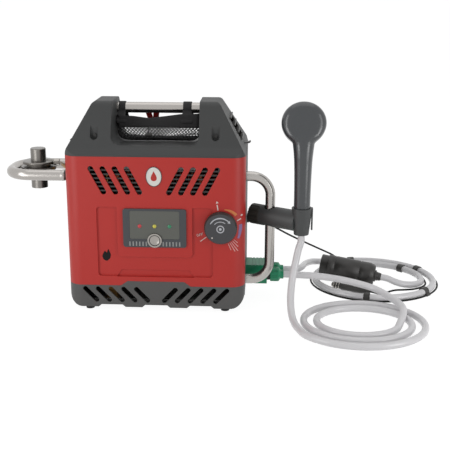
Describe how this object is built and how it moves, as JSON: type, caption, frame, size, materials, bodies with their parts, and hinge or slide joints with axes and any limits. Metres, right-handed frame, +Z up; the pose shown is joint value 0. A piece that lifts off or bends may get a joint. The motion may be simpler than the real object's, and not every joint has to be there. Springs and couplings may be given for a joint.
{
  "type": "portable gas water heater",
  "caption": "Portable gas water heater with carry bar, fold-out gas regulator arm, rail-held hand shower, submersible pump and hoses",
  "frame": {"origin": "centre of the case's footprint on the floor", "axes": "+X to the heater's right, +Y to its back, +Z up; the front faces -Y"},
  "size_m": [0.9023, 0.5151, 0.4155],
  "materials": {
    "red_shell": "semi-gloss red powder coat",
    "grey_plastic": "fine-grained moulding",
    "slate_plastic": "satin",
    "label_film": "matt film",
    "black_plastic": "satin",
    "black_rubber": "matt",
    "steel_tube": "satin brushed",
    "bright_metal": "polished",
    "sheet_steel": "galvanised",
    "dark_steel": "black oxide",
    "brass": "plain",
    "copper": "plain",
    "green_plastic": "smooth",
    "gloss_grey": "glossy",
    "light_lens": "clear",
    "dark_glass": "glossy",
    "white_enamel": "smooth",
    "hose_pvc": "smooth",
    "lead_pvc": "satin",
    "net": "open mesh",
    "webbing": "woven",
    "board": "solder mask",
    "cell_case": "shrink wrap",
    "ceramic": "glazed"
  },
  "bodies": {
    "heater": {"base_tray": "grey_plastic", "feet": "black_rubber", "front_panel": "red_shell", "rear_shell": "grey_plastic", "top_cap": "grey_plastic", "side_louvre": "black_plastic", "case_screws": "dark_steel", "carry_bar": "steel_tube", "pouch": "net", "pouch_straps": "webbing", "display_bezel": "slate_plastic", "display_label": "label_film", "status_lights": "light_lens", "button_ring": "bright_metal", "button_spring": "bright_metal", "badge_plate": "white_enamel", "flame_window": "dark_glass", "vent_guards": "slate_plastic", "chassis": "sheet_steel", "combustion_chamber": "sheet_steel", "burner": "sheet_steel", "gas_manifold": "brass", "gas_valve": "brass", "gas_pipe": "brass", "igniter": "ceramic", "heat_exchanger": "copper", "flue_hood": "sheet_steel", "mixing_valve": "brass", "water_inlet_pipe": "copper", "water_outlet_pipe": "copper", "control_board": "board", "battery": "cell_case", "port_block": "green_plastic", "port_seals": "black_rubber", "hose_nuts": "green_plastic", "power_socket": "black_plastic", "rack_tube": "steel_tube", "arm_bracket": "bright_metal", "shower_hose_lead": "hose_pvc", "shower_hose_coil": "hose_pvc", "shower_hose_riser": "hose_pvc", "pump_hose_lead": "hose_pvc", "pump_hose_coil": "hose_pvc", "pump_body": "black_plastic", "pump_nozzle": "black_plastic", "power_lead": "lead_pvc", "power_lead_coil": "lead_pvc", "lead_plug": "black_plastic", "hose_clips": "black_plastic"},
    "power_button": {"power_button": "slate_plastic"},
    "temp_knob": {"temp_knob": "grey_plastic", "knob_spindle": "brass"},
    "gas_arm": {"arm_tube": "steel_tube", "regulator": "bright_metal", "gas_swivel": "brass"},
    "holder_bush": {"holder_bush": "black_plastic"},
    "holder": {"holder_body": "slate_plastic"},
    "clamp_knob": {"clamp_knob": "black_plastic"},
    "handset": {"handset_shell": "gloss_grey", "spray_face": "slate_plastic"}
  },
  "joints": [
    {"name": "power_button_press", "type": "slide", "parent": "heater", "child": "power_button", "axis": [0, 1, 0], "range_m": [0, 0.0025], "stiffness_N_per_m": 400, "springref_m": -0.002, "deforming": ["button_spring"]},
    {"name": "temp_knob_turn", "type": "hinge", "parent": "heater", "child": "temp_knob", "pos_m": [0.128, -0.12, 0.178], "axis": [0, 1, 0], "range_deg": [0, 267]},
    {"name": "gas_arm_fold", "type": "hinge", "parent": "heater", "child": "gas_arm", "pos_m": [-0.187, -0.003, 0.2645], "axis": [0, 1, 0], "range_deg": [-90, 0]},
    {"name": "holder_slide", "type": "slide", "parent": "heater", "child": "holder_bush", "axis": [0, 0, 1], "range_m": [-0.062, 0.024], "deforming": ["shower_hose_riser"]},
    {"name": "holder_turn", "type": "hinge", "parent": "holder_bush", "child": "holder", "pos_m": [0.223, -0.05, 0.185], "axis": [0, 0, 1], "range_deg": [-57, 43]},
    {"name": "clamp_knob_turn", "type": "hinge", "parent": "holder", "child": "clamp_knob", "pos_m": [0.223, -0.05, 0.185], "axis": [0.848, -0.5299, 0], "range_deg": [0, 180]},
    {"name": "handset_lift", "type": "slide", "parent": "holder", "child": "handset", "axis": [0, 0, 1], "range_m": [0, 0.06]}
  ]
}
